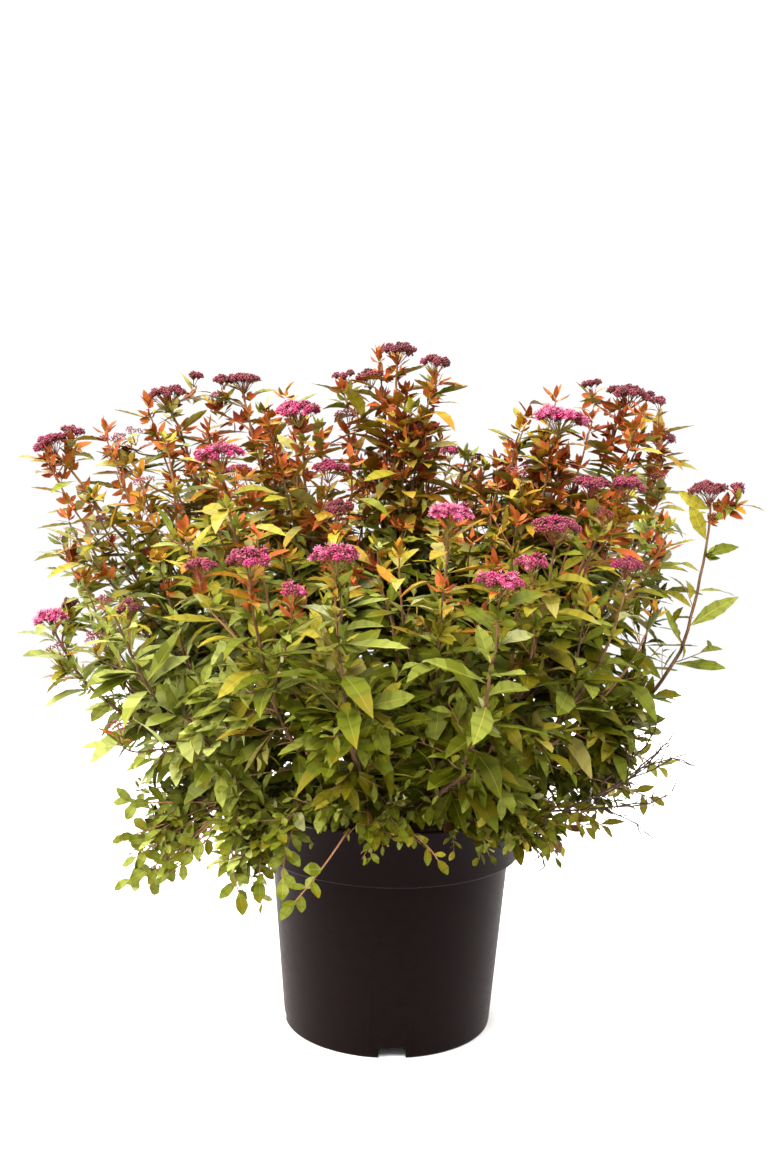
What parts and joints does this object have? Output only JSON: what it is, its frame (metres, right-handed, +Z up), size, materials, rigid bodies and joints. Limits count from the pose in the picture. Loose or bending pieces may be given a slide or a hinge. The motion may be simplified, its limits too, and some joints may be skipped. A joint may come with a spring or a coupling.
{
  "type": "flowering spirea shrub in a nursery pot",
  "caption": "Bushy flowering shrub with arching canes, yellow-green leaves, orange-red shoots and magenta flower heads, in a round black pot.",
  "frame": {"origin": "centre of the pot's flat underside, on the surface that the pot stands on", "axes": "+Z up, -Y towards the front of the plant as the picture shows it, +X to the right in the picture"},
  "size_m": [0.7096, 0.6238, 0.718],
  "materials": {
    "pot_plastic": "satin",
    "potting_soil": "matte",
    "bark": "matte",
    "foliage": "matte"
  },
  "bodies": {
    "root": {"bough_back": "bark", "bough_back_left": "bark", "bough_back_right": "bark", "bough_centre_left": "bark", "bough_centre_right": "bark", "bough_front_inner": "bark", "bough_front_left": "bark", "bough_front_right": "bark", "bough_left_back": "bark", "bough_left_front": "bark", "bough_left_high": "bark", "bough_left_inner": "bark", "bough_left_low": "bark", "bough_right_high": "bark", "bough_right_inner": "bark", "bough_top": "bark", "foliage_back": "foliage", "foliage_back_left": "foliage", "foliage_back_right": "foliage", "foliage_belly_back": "foliage", "foliage_belly_back_left": "foliage", "foliage_belly_front": "foliage", "foliage_belly_front_left": "foliage", "foliage_belly_front_right": "foliage", "foliage_belly_left": "foliage", "foliage_belly_left_back": "foliage", "foliage_belly_right": "foliage", "foliage_belly_right_back": "foliage", "foliage_centre_back": "foliage", "foliage_centre_left": "foliage", "foliage_centre_right": "foliage", "foliage_front": "foliage", "foliage_front_inner": "foliage", "foliage_front_left": "foliage", "foliage_front_right": "foliage", "foliage_left_back": "foliage", "foliage_left_fore": "foliage", "foliage_left_front": "foliage", "foliage_left_high": "foliage", "foliage_left_inner": "foliage", "foliage_left_low": "foliage", "foliage_left_rear": "foliage", "foliage_right_back": "foliage", "foliage_right_front": "foliage", "foliage_right_high": "foliage", "foliage_right_inner": "foliage", "foliage_right_low": "foliage", "foliage_right_mid": "foliage", "foliage_skirt_back": "foliage", "foliage_skirt_front": "foliage", "foliage_skirt_front_left": "foliage", "foliage_skirt_front_right": "foliage", "foliage_skirt_left": "foliage", "foliage_skirt_left_back": "foliage", "foliage_skirt_right": "foliage", "foliage_skirt_right_back": "foliage", "foliage_top": "foliage", "pot": "pot_plastic", "root_ball": "potting_soil", "short_stem": "bark"}
  },
  "joints": []
}
